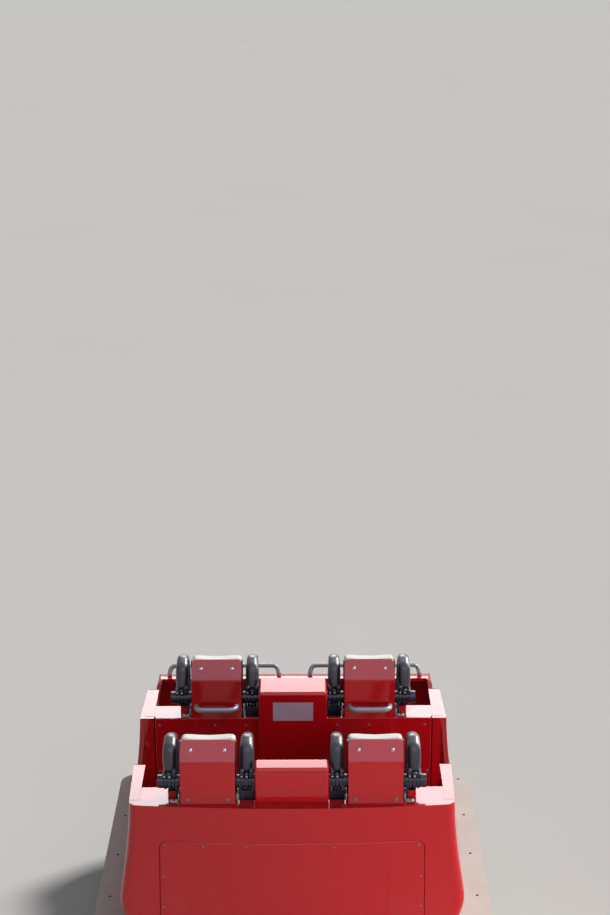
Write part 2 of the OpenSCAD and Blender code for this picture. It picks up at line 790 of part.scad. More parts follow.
// Axles and carriers
rail_x = gauge / 2;
axle_d = 90;
stub_d = 50;
carrier_gap = 35;
wheel_side = 8;
carrier_x = rail_x + rail_d / 2 + carrier_gap;
axle_end = rail_x - run_w / 2 - wheel_side;
stub_out = 10;
post_y = 50;
module axles() {
    color("dimgray") for (s = [-1, 1]) translate([0, s * axle_base / 2, run_z]) {
        rotate([0, 90, 0]) translate([0, 0, -axle_end]) cylinder(h = 2 * axle_end, d = axle_d);
        rotate([0, 90, 0]) translate([0, 0, -carrier_x - carrier_t - stub_out])
            cylinder(h = 2 * (carrier_x + carrier_t + stub_out), d = stub_d);
        box([-spine_x, -post_y, 0], [spine_x, post_y, beam_z - run_z - seat_gap]);
    }
}

side_y = 235;
side_x = rail_x + rail_d / 2 + rail_gap + side_d / 2;
side_w = 100;
fork_t = 16;
wheel_gap = 6;
side_pin = 30;
up_w = 110;
carrier_y = 110;
fork_in = 90;
fork_end = 40;
carrier_neck = 60;
carrier_top = 70;
fork_r = 36;
// A carrier holds the axle's end, the side wheel's fork and the up-stop wheel's pin.
module carrier(dir) {
    difference() {
        union() {
            along_x(carrier_x, carrier_x + carrier_t) polygon(rounded([
                [-carrier_y, 0, 8], [-carrier_y, run_z - carrier_neck, carrier_top],
                [-carrier_neck, run_z + carrier_top, carrier_neck],
                [carrier_neck, run_z + carrier_top, carrier_neck],
                [carrier_y, run_z - carrier_neck, carrier_top], [carrier_y, 0, 8]]));
            for (z = [-1, 1]) translate([0, 0, rail_z + z * (side_w / 2 + wheel_gap)
                - (z < 0 ? fork_t : 0)]) linear_extrude(fork_t) polygon(rounded([
                [carrier_x, dir * fork_in, 0], [carrier_x + fork_in, dir * fork_in, fork_r / 2],
                [side_x + fork_end, dir * (side_y + fork_end), fork_r],
                [side_x - fork_end, dir * (side_y + fork_end), fork_r],
                [side_x - fork_end, dir * (side_y - fork_end), 0],
                [carrier_x, dir * (side_y - 1.5 * fork_end), 0]]));
            translate([side_x, dir * side_y, rail_z - side_w / 2 - wheel_gap - 1])
                cylinder(h = side_w + 2 * wheel_gap + 2, d = side_pin);
            translate([rail_x - up_w / 2 - wheel_gap, 0, up_z]) rotate([0, 90, 0])
                cylinder(h = carrier_x - rail_x + up_w / 2 + wheel_gap + 1, d = side_pin);
        }
        translate([carrier_x - 1, 0, run_z]) rotate([0, 90, 0])
            cylinder(h = carrier_t + 2, d = stub_d + 2 * fit);
    }
}
module wheel_carriers() {
    color("dimgray") both_sides() for (s = [-1, 1])
        translate([0, s * axle_base / 2, 0]) carrier(s);
}

// Wheels. A wheel is turned about its bore, with a dished face on each side.
tyre_r = 10;
boss_t = 16;
module wheel(d, w, bore) {
    dish = d * 0.32;
    rotate([0, 90, 0]) difference() {
        rotate_extrude() translate([0, -w / 2]) polygon(rounded([
            [0, 0, 0], [d / 2, 0, tyre_r], [d / 2, w, tyre_r], [0, w, 0]]));
        for (s = [0, 1]) mirror([0, 0, s]) translate([0, 0, w / 2 - w * 0.12])
            difference() {
                cylinder(h = w, r = dish);
                translate([0, 0, -1]) cylinder(h = w + 2, r = bore / 2 + boss_t);
            }
        translate([0, 0, -w]) cylinder(h = 2 * w, d = bore + 2 * fit);
    }
}
module running_wheel(sx, sy) {
    color("dimgray") translate([sx * rail_x, sy * axle_base / 2, run_z])
        wheel(run_d, run_w, stub_d);
}
module side_wheel(sx, sy) {
    color("dimgray") translate([sx * side_x, sy * (axle_base / 2 + side_y), rail_z])
        rotate([0, 90, 0]) wheel(side_d, side_w, side_pin);
}
module upstop_wheel(sx, sy) {
    color("dimgray") translate([sx * rail_x, sy * axle_base / 2, up_z])
        wheel(up_d, up_w, side_pin);
}

// Couplings
eye_y = pin_pitch / 2;
pin_y = -pin_pitch / 2;
bar_up = 40;
bar_low = beam_z + bar_up;
eye_t = 40;
eye_r = 50;
ear_t = 25;
ear_gap = 44;
tongue_x = 40;
block_x = 60;
ear_reach = 158;
module front_coupling() {
    color("dimgray") difference() {
        union() {
            box([-tongue_x, spine_front + seat_gap, bar_low], [tongue_x, eye_y,
                bar_low + eye_t]);
            translate([0, eye_y, bar_low]) cylinder(h = eye_t, r = eye_r);
        }
        translate([0, eye_y, bar_low - 1]) cylinder(h = eye_t + 2, d = pin_d);
    }
}
module rear_coupling() {
    middle = bar_low + eye_t / 2;
    half = ear_gap / 2 + ear_t;
    color("dimgray") difference() {
        union() {
            box([-block_x, pin_y + ear_reach, middle - half],
                [block_x, spine_rear - seat_gap, middle + half]);
            for (s = [0, 1]) translate([0, 0, middle - half + s * (ear_gap + ear_t)]) {
                box([-eye_r, pin_y, 0], [eye_r, pin_y + ear_reach + 1, ear_t]);
                translate([0, pin_y, 0]) cylinder(h = ear_t, r = eye_r);
            }
        }
        translate([0, pin_y, middle - 2 * half]) cylinder(h = 4 * half, d = pin_d);
    }
}

chassis_frame();
axles();
wheel_carriers();
floor_pan();
front_cowl();
left_side_panel();
right_side_panel();
bulkhead_panel();
rear_panel();
rear_hatch();
front_console();
rear_console();
blank_placard();
front_seat_shells();
rear_seat_shells();
front_seat_buckets();
rear_seat_buckets();
front_left_pad();
front_right_pad();
rear_left_pad();
rear_right_pad();
seat_brackets();
back_handles();
grab_bars();
reaction_plates();
restraint_pivots();
front_coupling();
rear_coupling();
front_left_restraint();
front_right_restraint();
rear_left_restraint();
rear_right_restraint();
front_left_arm_pads();
front_right_arm_pads();
rear_left_arm_pads();
rear_right_arm_pads();
running_wheel(-1, 1);  // front_left_running_wheel
running_wheel(1, 1);  // front_right_running_wheel
running_wheel(-1, -1);  // rear_left_running_wheel
running_wheel(1, -1);  // rear_right_running_wheel
side_wheel(-1, 1);  // front_left_side_wheel
side_wheel(1, 1);  // front_right_side_wheel
side_wheel(-1, -1);  // rear_left_side_wheel
side_wheel(1, -1);  // rear_right_side_wheel
upstop_wheel(-1, 1);  // front_left_upstop_wheel
upstop_wheel(1, 1);  // front_right_upstop_wheel
upstop_wheel(-1, -1);  // rear_left_upstop_wheel
upstop_wheel(1, -1);  // rear_right_upstop_wheel
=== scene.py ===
# %% [markdown]
# # A red roller coaster car
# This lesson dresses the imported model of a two-row, four-seat coaster car. The packed
# solids are the frame: every piece made here lies where they lie, in metres, with X to
# the right, Y forward, the way the car runs, and Z up. Rigid solids get rounded edges and
# a finish. Foam, tubes, wheels and fasteners are made anew.

# %% Load the frame
import math
import json
import bpy
import bmesh
import numpy as np
from mathutils import Matrix, Vector
from mathutils.bvhtree import BVHTree


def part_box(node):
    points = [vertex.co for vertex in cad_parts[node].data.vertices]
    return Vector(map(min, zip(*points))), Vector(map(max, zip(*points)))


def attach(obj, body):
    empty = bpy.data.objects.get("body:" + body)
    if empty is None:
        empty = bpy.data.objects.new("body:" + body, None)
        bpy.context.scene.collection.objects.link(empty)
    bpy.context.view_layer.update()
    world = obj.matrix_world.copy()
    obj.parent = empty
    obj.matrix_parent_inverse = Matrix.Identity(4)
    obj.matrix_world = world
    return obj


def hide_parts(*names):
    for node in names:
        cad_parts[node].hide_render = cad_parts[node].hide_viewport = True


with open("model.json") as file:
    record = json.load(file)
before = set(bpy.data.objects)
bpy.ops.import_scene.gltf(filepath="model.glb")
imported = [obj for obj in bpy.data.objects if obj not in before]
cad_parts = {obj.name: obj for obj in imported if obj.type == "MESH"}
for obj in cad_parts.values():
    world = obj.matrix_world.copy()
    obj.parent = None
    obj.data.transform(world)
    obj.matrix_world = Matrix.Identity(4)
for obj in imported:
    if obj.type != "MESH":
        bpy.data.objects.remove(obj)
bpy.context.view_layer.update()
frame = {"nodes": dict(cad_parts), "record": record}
nodes = frame["nodes"]
bodies = frame["record"]["behaviour"]["bodies"]
body_of = {node: body for body, members in bodies.items() for node in members}

# %% [markdown]
# Nearly every piece is placed from the same few lines: the top of the body's shoulders,
# each row's line, each seat's middle, the hinge line of a restraint and the distance of
# its two arms from the seat's middle. They could be typed in wherever they are needed,
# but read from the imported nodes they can't drift away from the solids that carry them.

# %% Shared sizes
row_names = ("front", "rear")
both_sides = (("left", -1), ("right", 1))
corners = [(row, side, sx) for row in row_names for side, sx in both_sides]
row_to_pad = 0.1653
pivot_ahead, pivot_up = 0.100, 0.100
arm_off = 0.225

shoulder_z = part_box("bulkhead_panel")[1].z
row_y = {row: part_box(f"{row}_left_pad")[0].y - row_to_pad for row in row_names}
pad_lo, pad_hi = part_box("front_right_pad")
seat_x = (pad_lo.x + pad_hi.x) / 2
print("shoulders at", round(shoulder_z, 4), "rows at", row_y, "seats at", round(seat_x, 4))

# %% [markdown]
# The car is seen from high up and straight behind. A camera can be aimed by eye, but this
# one was fitted to the car's own sizes: nine metres behind the rear row, five above the
# shoulders and tipped down by eighteen and a half degrees. A camera's matrix holds its
# right, up and back as columns, so all three angles go in at once. The picture is
# upright, so the sensor's size lies along its height, and the lens follows from the focal
# length in pixels.

# %% Camera
def placed(name, data):
    """A new object of a mesh, light or camera, linked to the scene."""
    thing = bpy.data.objects.new(name, data)
    bpy.context.scene.collection.objects.link(thing)
    return thing


def aim(pitch, yaw, roll):
    """Columns are the camera's right, up and back. Right is level and turned by yaw, up is
    right x forward, and both then roll about forward."""
    ahead = np.array([math.sin(yaw) * math.cos(pitch), math.cos(yaw) * math.cos(pitch),
                      -math.sin(pitch)])
    level = np.array([math.cos(yaw), -math.sin(yaw), 0.0])
    up = np.cross(level, ahead)
    right = level * math.cos(roll) + up * math.sin(roll)
    return np.stack([right, up * math.cos(roll) - level * math.sin(roll), -ahead], axis=1)


sensor_size, focal_pixels, picture_height = 36.0, 1750.0, 915.0
camera = placed("camera", bpy.data.cameras.new("camera"))
stand = np.eye(4)
stand[:3, :3] = aim(pitch=0.32325, yaw=-0.002176, roll=-0.004502)
stand[:3, 3] = (0.10528, row_y["rear"] - 9.00547, shoulder_z + 5.14358)
camera.matrix_world = Matrix(stand.tolist())
camera.data.sensor_width = sensor_size
camera.data.lens = focal_pixels / picture_height * sensor_size
camera.data.clip_end = 600.0
bpy.context.scene.camera = camera
bpy.context.scene.view_settings.view_transform = "Standard"
print("camera at", [round(v, 3) for v in stand[:3, 3]])

# %% [markdown]
# The new pieces are smooth surfaces. They could be modelled by hand or with modifiers, but
# a mesh made from arrays is quick to build and easy to check: a grid of points becomes
# quads by index arithmetic, and either direction of the grid can close on itself.

# %% Meshes from arrays
def put(name, points, quads, material, smooth=True, triangles=()):
    """A mesh object at the origin from an (n, 3) array of points and an (m, 4) array of
    corners. An (m, 3) array of triangles may follow the quads."""
    faces = [np.asarray(part, dtype=np.int32) for part in (quads, triangles) if len(part)]
    loops = np.concatenate([part.ravel() for part in faces])
    sizes = np.concatenate([np.full(len(part), part.shape[1]) for part in faces])
    mesh = bpy.data.meshes.new(name)
    mesh.vertices.add(len(points))
    mesh.vertices.foreach_set("co", np.asarray(points, dtype=np.float32).ravel())
    mesh.loops.add(len(loops))
    mesh.loops.foreach_set("vertex_index", loops)
    mesh.polygons.add(len(sizes))
    mesh.polygons.foreach_set("loop_start", (np.cumsum(sizes) - sizes).astype(np.int32))
    mesh.update(calc_edges=True)
    mesh.validate()
    if smooth:
        mesh.shade_smooth()
    mesh.materials.append(material)
    return placed(name, mesh)


def grid_quads(rows, cols, wrap_rows=False, wrap_cols=False, offset=0):
    """Corners of the quads of a rows x cols grid: point (i, j) is number i * cols + j."""
    i, j = np.meshgrid(np.arange(rows if wrap_rows else rows - 1),
                       np.arange(cols if wrap_cols else cols - 1), indexing="ij")
    i1, j1 = (i + 1) % rows, (j + 1) % cols
    quads = np.stack([i * cols + j, i * cols + j1, i1 * cols + j1, i1 * cols + j], axis=-1)
    return quads.reshape(-1, 4) + offset


def triples(items, field):
    """A field of each vertex or face, such as co or center, as rows of three numbers."""
    flat = np.empty(len(items) * 3, dtype=np.float32)
    items.foreach_get(field, flat)
    return flat.reshape(-1, 3)


print("arrays ready")

# %% [markdown]
# A closed surface needs its faces turned outwards, and no real edge is a knife edge. A
# bevel could be cut into the mesh for good. As a modifier it leaves the mesh simple, and
# normals weighted by face area then keep flat faces flat in their reflections.

# %% Cleaning and rounding
def cleaned(thing, merge=1e-6):
    """Merges doubled points, such as those at a pole, and turns every face outwards. With
    a merge of 0 the points are left alone."""
    work = bmesh.new()
    work.from_mesh(thing.data)
    if merge:
        bmesh.ops.remove_doubles(work, verts=work.verts, dist=merge)
        bmesh.ops.dissolve_degenerate(work, edges=work.edges, dist=merge)
    bmesh.ops.recalc_face_normals(work, faces=work.faces)
    work.to_mesh(thing.data)
    work.free()
    return thing


def rounded_edges(thing, width, segments=3, sharp=32.0):
    """A bevel on edges sharper than an angle in degrees, then weighted normals."""
    bevel = thing.modifiers.new("round", "BEVEL")
    bevel.width = width
    bevel.segments = segments
    bevel.limit_method = "ANGLE"
    bevel.angle_limit = math.radians(sharp)
    bevel.use_clamp_overlap = True
    even = thing.modifiers.new("even", "WEIGHTED_NORMAL")
    even.keep_sharp = False
    even.weight = 50
    return thing


print("cleaning ready")

# %% [markdown]
# Paint, foam and metal on a working ride are never one flat colour. Each material could
# hold its own noises, but two node groups are built once and placed in every finish with
# its own values: one clouds the surface at two scales, and the other finds edges and
# corners, where paint polishes through or dust stays.

# %% Shared shader groups
def new_group(name, inputs, outputs):
    """An empty shader node group with float inputs (name, default) and float outputs."""
    group = bpy.data.node_groups.new(name, "ShaderNodeTree")
    for label, value in inputs:
        socket = group.interface.new_socket(
            name=label, in_out="INPUT", socket_type="NodeSocketFloat")
        socket.default_value = value
    for label in outputs:
        group.interface.new_socket(
            name=label, in_out="OUTPUT", socket_type="NodeSocketFloat")
    return group, group.nodes.new("NodeGroupInput"), group.nodes.new("NodeGroupOutput")


def cloud_group():
    """Two noises of the object's own coordinates, one coarse and one fine, each from 0 to
    1, and their product as dust."""
    group, given, result = new_group(
        "cloud", [("Coarse", 3.0), ("Fine", 60.0)], ["Broad", "Grain", "Dust"])
    add, link = group.nodes.new, group.links.new
    place = add("ShaderNodeTexCoord")
    product = add("ShaderNodeMath")
    product.operation = "MULTIPLY"
    noises = (("Coarse", 3.0, "Broad"), ("Fine", 4.0, "Grain"))
    for number, (scale, detail, label) in enumerate(noises):
        noise = add("ShaderNodeTexNoise")
        noise.inputs["Detail"].default_value = detail
        link(place.outputs["Object"], noise.inputs["Vector"])
        link(given.outputs[scale], noise.inputs["Scale"])
        link(noise.outputs["Fac"], result.inputs[label])
        link(noise.outputs["Fac"], product.inputs[number])
    link(product.outputs[0], result.inputs["Dust"])
    return group


def edge_group():
    """Pointiness of the surface, stretched so that sharp outer edges give 1 and flat
    places give 0."""
    group, given, result = new_group("edges", [("Low", 0.51), ("High", 0.58)], ["Edge"])
    add, link = group.nodes.new, group.links.new
    shape = add("ShaderNodeNewGeometry")
    spread = add("ShaderNodeMapRange")
    link(shape.outputs["Pointiness"], spread.inputs["Value"])
    link(given.outputs["Low"], spread.inputs["From Min"])
    link(given.outputs["High"], spread.inputs["From Max"])
    link(spread.outputs["Result"], result.inputs["Edge"])
    return group


cloud = cloud_group()
edges = edge_group()
print("groups", cloud.name, edges.name)

# %% [markdown]
# Every finish here is built alike: a Principled shader whose colour and roughness drift
# with the cloud group, and whose bump comes from its grain. They could be painted as
# images, but noise in the object's own coordinates needs no file and stays sharp close
# up. One function makes them all, so a finish is only its numbers, and constants such as
# coat and metal sit on the shader's own sockets.

# %% Material builder
def finish(name, dark, light, rough, metal=0.0, level=0.5, coat=0.0, coat_rough=0.03,
           sheen=0.0, coarse=3.0, fine=60.0, bump=0.0, bump_size=0.001, edge=None):
    """A material between two linear colours by the broad cloud, with roughness between two
    values by its grain. level is the base's specular level, and edge is a colour that
    shows where the edge group finds an edge."""
    material = bpy.data.materials.new(name)
    material.use_nodes = True
    add, link = material.node_tree.nodes.new, material.node_tree.links.new
    shader = material.node_tree.nodes["Principled BSDF"]
    shader.inputs["Metallic"].default_value = metal
    shader.inputs["Specular IOR Level"].default_value = level
    shader.inputs["Coat Weight"].default_value = coat
    shader.inputs["Coat Roughness"].default_value = coat_rough
    shader.inputs["Sheen Weight"].default_value = sheen
    drift = add("ShaderNodeGroup")
    drift.node_tree = cloud
    drift.inputs["Coarse"].default_value = coarse
    drift.inputs["Fine"].default_value = fine
    mix = add("ShaderNodeMix")
    mix.data_type = "RGBA"
    mix.inputs["A"].default_value = (*dark, 1)
    mix.inputs["B"].default_value = (*light, 1)
    link(drift.outputs["Broad"], mix.inputs["Factor"])
    colour = mix.outputs["Result"]
    if edge:
        worn = add("ShaderNodeGroup")
        worn.node_tree = edges
        over = add("ShaderNodeMix")
        over.data_type = "RGBA"
        over.inputs["B"].default_value = (*edge, 1)
        link(worn.outputs["Edge"], over.inputs["Factor"])
        link(colour, over.inputs["A"])
        colour = over.outputs["Result"]
    link(colour, shader.inputs["Base Color"])
    spread = add("ShaderNodeMapRange")
    spread.inputs["To Min"].default_value, spread.inputs["To Max"].default_value = rough
    link(drift.outputs["Grain"], spread.inputs["Value"])
    link(spread.outputs["Result"], shader.inputs["Roughness"])
    if bump:
        relief = add("ShaderNodeBump")
        relief.inputs["Strength"].default_value = bump
        relief.inputs["Distance"].default_value = bump_size
        link(drift.outputs["Grain"], relief.inputs["Height"])
        link(relief.outputs["Normal"], shader.inputs["Normal"])
    return material


print("material builder ready")

# %% [markdown]
# The body is a deep red under clear coat, and its base has almost no gloss of its own, so
# that the coat alone makes the sheen. The pads and sleeves are skinned foam: light and
# dull on the pads, nearly black with a soft shine on the arms, where the blue in the black
# is a painted reflection of the sky. The two noise scales are in waves a metre, so a fine
# value of several hundred is a grain of a few millimetres.

# %% Finishes of the body and the foam
paint_red = finish("paint_red", (0.50, 0.003, 0.008), (0.57, 0.005, 0.012), (0.34, 0.44),
                   level=0.1, coat=0.9, coarse=1.2, fine=900.0, bump=0.02, bump_size=0.0003)
seat_moulding = finish("seat_moulding", (0.030, 0.031, 0.036), (0.045, 0.046, 0.052),
                       (0.48, 0.62), coarse=5.0, fine=700.0, bump=0.35, bump_size=0.0006)
pad_foam = finish("pad_foam", (0.62, 0.64, 0.61), (0.72, 0.74, 0.71), (0.46, 0.60),
                  sheen=0.1, coarse=4.0, fine=520.0, bump=0.30, bump_size=0.0006)
# The sleeves are near-black foam, and their blue tint is a painted sky reflection.
arm_foam = finish("arm_foam", (0.010, 0.010, 0.026), (0.018, 0.017, 0.038), (0.36, 0.44),
                  level=0.6, coat=0.45, coat_rough=0.24, sheen=0.1,
                  coarse=7.0, fine=520.0, bump=0.08, bump_size=0.0005)
deck_rubber = finish("deck_rubber", (0.020, 0.020, 0.022), (0.032, 0.032, 0.034),
                     (0.6, 0.75), coarse=6.0, fine=160.0, bump=0.5, bump_size=0.0015)
tread_amber = finish("tread_amber", (0.10, 0.055, 0.025), (0.15, 0.085, 0.04),
                     (0.35, 0.5), coarse=9.0, fine=300.0, bump=0.1, bump_size=0.0005)
print("materials", len(bpy.data.materials))

# %% [markdown]
# The frame and pivots are painted steel that shows lighter on its edges, the tubes are
# satin grey, and the side plates, hubs and fasteners are bare metal in several states of
# weathering. A dull plate has a low specular level, because dust hides its gloss.

# %% Finishes of the metal parts
frame_grey = finish("frame_grey", (0.035, 0.036, 0.040), (0.060, 0.061, 0.066),
                    (0.42, 0.62), coarse=6.0, fine=240.0, bump=0.15, bump_size=0.0006,
                    edge=(0.16, 0.16, 0.165))
# The pivots are near-black, and the blue in their colour is a painted sky reflection.
restraint_black_painted_sky = finish("restraint_black_painted_sky", (0.008, 0.010, 0.024), (0.014, 0.017, 0.036),
                    (0.20, 0.30), coarse=9.0, fine=240.0, edge=(0.05, 0.055, 0.09))
tube_grey = finish("tube_grey", (0.28, 0.30, 0.37), (0.34, 0.36, 0.44), (0.26, 0.38),
                   metal=0.2, coarse=9.0, fine=260.0, bump=0.05, bump_size=0.0004)
fin_metal = finish("fin_metal", (0.50, 0.49, 0.47), (0.62, 0.61, 0.58), (0.55, 0.70),
                   level=0.12, coarse=5.0, fine=120.0, bump=0.05, bump_size=0.0004)
fin_core = finish("fin_core", (0.13, 0.085, 0.055), (0.19, 0.13, 0.085), (0.5, 0.65),
                  coarse=8.0, fine=200.0, bump=0.1, bump_size=0.0005)
# The blank placard's lilac tint is a painted reflection of the sky on bare grey metal.
placard_painted_reflection = finish("placard_painted_reflection", (0.50, 0.40, 0.54), (0.57, 0.47, 0.62), (0.34, 0.44),
                     metal=0.1, coarse=12.0, fine=400.0)
bracket_metal = finish("bracket_metal", (0.36, 0.38, 0.38), (0.44, 0.46, 0.46),
                       (0.35, 0.5), metal=0.5, coarse=14.0, fine=400.0)
hub_metal = finish("hub_metal", (0.42, 0.42, 0.43), (0.55, 0.55, 0.56), (0.28, 0.42),
                   metal=0.9, coarse=15.0, fine=300.0)
bolt_zinc = finish("bolt_zinc", (0.40, 0.41, 0.44), (0.55, 0.56, 0.60), (0.25, 0.40),
                   metal=0.7, coarse=80.0, fine=900.0)
bolt_dull = finish("bolt_dull", (0.16, 0.15, 0.16), (0.24, 0.22, 0.24), (0.45, 0.60),
                   metal=0.3, coarse=80.0, fine=900.0)
print("materials", len(bpy.data.materials))

# %% [markdown]
# The floor and the backdrop are one pale sweep. A real backdrop could be built behind the
# car, but a world that is plain pale light to the camera and in gloss shows no seam from
# any side, while for everything else it lights the car softly.

# %% Floor and backdrop
def pale_sky(seen_as, strength):
    """A world of a plain pale colour to the camera, in gloss and through glass, which
    lights the object with the given strength. Which of the two a ray gets is the largest
    of three tests that give 0 or 1."""
    world = bpy.data.worlds.new("studio")
    bpy.context.scene.world = world
    world.use_nodes = True
    world.node_tree.nodes.clear()
    add, link = world.node_tree.nodes.new, world.node_tree.links.new
    seen = add("ShaderNodeBackground")
    seen.inputs["Color"].default_value = (*seen_as, 1)
    lit = add("ShaderNodeBackground")
    lit.inputs["Color"].default_value = (0.90, 0.95, 1.0, 1)
    lit.inputs["Strength"].default_value = strength
    path = add("ShaderNodeLightPath")
    plain = path.outputs["Is Camera Ray"]
    for test in ("Is Glossy Ray", "Is Transmission Ray"):
        larger = add("ShaderNodeMath")
        larger.operation = "MAXIMUM"
        link(plain, larger.inputs[0])
        link(path.outputs[test], larger.inputs[1])
        plain = larger.outputs[0]
    mix = add("ShaderNodeMixShader")
    link(plain, mix.inputs["Fac"])
    link(lit.outputs[0], mix.inputs[1])
    link(seen.outputs[0], mix.inputs[2])
    out = add("ShaderNodeOutputWorld")
    link(mix.outputs[0], out.inputs["Surface"])
    return world


pale_sky((0.59, 0.58, 0.56), 0.18)
floor_paint = finish("floor_paint", (0.60, 0.60, 0.60), (0.64, 0.64, 0.64), (0.8, 0.9),
                     level=0.0, coarse=0.3)
far = 300
ground = put("ground", [(-far, -far, 0), (far, -far, 0), (far, far, 0), (-far, far, 0)],
             [(0, 1, 2, 3)], floor_paint, smooth=False)
print("stage ready")

# %% [markdown]
# Two suns make the plain light: a warm one from the front right, and a faint and very wide
# one from behind. Gloss is what it reflects, so three panels show in gloss alone. A wide
# one in front gives the pale sheen on all that lies flat, one at the front right models
# the arms and pads, and a dim bluish one above and behind shows in the tilted tops of the
# seat shells. A small warm panel at the right does the opposite: it warms the lower right
# of the body and isn't seen in gloss, where its outline would show.

# %% Soft lights
def soft_panel(name, place, target, wide, high, glow, colour, spread=80.0):
    """A rectangle of light that shines into the angle spread. A narrow spread makes it
    brighter head-on by tan a / (tan a - a), where a is half the spread, so that is divided
    out and glow is how bright it looks."""
    half = math.radians(spread / 2)
    light = placed(name, bpy.data.lights.new(name, "AREA"))
    light.data.shape = "RECTANGLE"
    light.data.size, light.data.size_y = wide, high
    light.data.energy = glow * wide * high * math.pi * (1 - half / math.tan(half))
    light.data.spread = math.radians(spread)
    light.data.color = colour
    light.visible_camera = False
    light.location = place
    way = Vector(target) - Vector(place)
    light.rotation_euler = way.to_track_quat("-Z", "Z").to_euler()
    return light


def soft_sun(name, way, strength, width, colour):
    """Even light from far away along a direction, with a disc as wide as the given angle
    in degrees. Strength is in watts a square metre."""
    light = placed(name, bpy.data.lights.new(name, "SUN"))
    light.data.energy = strength
    light.data.angle = math.radians(width)
    light.data.color = colour
    light.rotation_euler = Vector(way).to_track_quat("Z", "Y").to_euler()
    return light


soft_sun("key_sun", (0.52, 0.46, 0.72), 3.0, 12.0, (1.0, 0.96, 0.90))
soft_sun("fill_sun", (0.25, -0.70, 0.66), 0.35, 50.0, (1.0, 0.96, 0.96))
gloss_panels = [
    soft_panel("front_panel", (0.1, 7.7, 6.4), (0.1, 0, 1.8), wide=4.6, high=6.4, glow=7.6,
               colour=(0.97, 0.98, 1.0)),
    soft_panel("rear_panel_light", (0.0, -6.5, 8.2), (0, -0.6, 1.4), wide=6.0, high=5.0,
               glow=1.1, colour=(0.50, 0.58, 1.0)),
    soft_panel("right_panel", (6.0, 3.4, 5.0), (0, -0.4, 1.7), wide=7.0, high=4.6, glow=9.0,
               colour=(1.0, 0.98, 0.96)),
]
for panel in gloss_panels:
    panel.visible_diffuse = False
side_glow = soft_panel("side_panel_light", (3.4, -3.4, 1.5), (0.5, -1.2, 1.1), wide=1.4,
                       high=1.2, glow=18.0, colour=(1.0, 0.86, 0.74))
side_glow.visible_glossy = False

# %% [markdown]
# A moulded panel never has a knife edge. Each rigid node is copied, the copy's loose
# triangles are merged, and a bevel rounds every sharp edge. The solids could be modelled
# again by hand, but a copy has the right place and size from the start. The copy stands
# for the node, and the node's own mesh is left alone.

# %% Dressing the rigid nodes
def merged_copy(node, material, name, doubled=2e-5, flat=0.6):
    """A copy of a CAD node as one mesh, with doubled points merged and triangles joined
    where they meet at less than the flat angle in degrees."""
    thing = placed(name, nodes[node].data.copy())
    work = bmesh.new()
    work.from_mesh(thing.data)
    bmesh.ops.remove_doubles(work, verts=work.verts, dist=doubled)
    bmesh.ops.dissolve_limit(work, angle_limit=math.radians(flat), verts=work.verts,
                             edges=work.edges)
    work.to_mesh(thing.data)
    work.free()
    thing.data.materials.clear()
    thing.data.materials.append(material)
    thing.data.shade_smooth()
    return thing


def wide_corners(thing, chosen, width, bent=40.0):
    """Rounds off for good the edges that bend by more than an angle and for which
    chosen(middle, way) is true. Returns how many there were."""
    work = bmesh.new()
    work.from_mesh(thing.data)
    picked = []
    for e in work.edges:
        a, b = e.verts[0].co, e.verts[1].co
        if (e.is_manifold and e.calc_face_angle() > math.radians(bent)
                and chosen((a + b) / 2, (b - a).normalized())):
            picked.append(e)
    bmesh.ops.bevel(work, geom=picked, offset=width, segments=6, profile=0.5,
                    affect="EDGES", clamp_overlap=False)
    bmesh.ops.recalc_face_normals(work, faces=work.faces)
    work.to_mesh(thing.data)
    work.free()
    thing.data.shade_smooth()
    return len(picked)


def dressed(node, material, width, segments=3, corner=None, corner_width=0.0):
    """A merged copy whose sharp edges are rounded, and which stands for its node. Edges
    that the corner test picks get a wider rounding of their own first."""
    thing = merged_copy(node, material, node + "_skin")
    if corner:
        print(node, "wide corners", wide_corners(thing, corner, corner_width))
    rounded_edges(thing, width, segments)
    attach(thing, body_of[node])
    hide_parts(node)
    return thing


print("dressing ready")

# %% [markdown]
# The body is red moulded panels round dark seat buckets and a rubber floor. The two
# upright corners of the rear panel are rounded far more than any other edge, and the long
# edges of the consoles somewhat more, so both are bevelled first, in the mesh. Edges can
# be listed by number, but a small test on an edge's middle and direction still picks the
# right ones when a solid has changed.

# %% Body panels
def upright_corner(middle, way):
    """True for the rear panel's two upright outer edges at the back."""
    return abs(middle.x) > 0.9 and abs(way.z) > 0.8 and middle.y < row_y["rear"] + 0.01


def console_edge(middle, way):
    """True for a console's long edges above the shoulders."""
    return abs(middle.x) > 0.2 and middle.z > shoulder_z + 0.02 and abs(way.x) < 0.2


panels = [
    dressed("rear_panel", paint_red, 0.008, 4, corner=upright_corner, corner_width=0.048),
    dressed("rear_hatch", paint_red, 0.011, 5),
    dressed("bulkhead_panel", paint_red, 0.005),
    dressed("left_side_panel", paint_red, 0.006),
    dressed("right_side_panel", paint_red, 0.006),
    dressed("front_cowl", paint_red, 0.014, 4),
]
for row in row_names:
    panels += [
        dressed(f"{row}_console", paint_red, 0.008, corner=console_edge, corner_width=0.014),
        dressed(f"{row}_seat_shells", paint_red, 0.0055, 4),
        dressed(f"{row}_seat_buckets", seat_moulding, 0.010, 4),
    ]
panels.append(dressed("floor_pan", deck_rubber, 0.004))
print("body panels", len(panels))
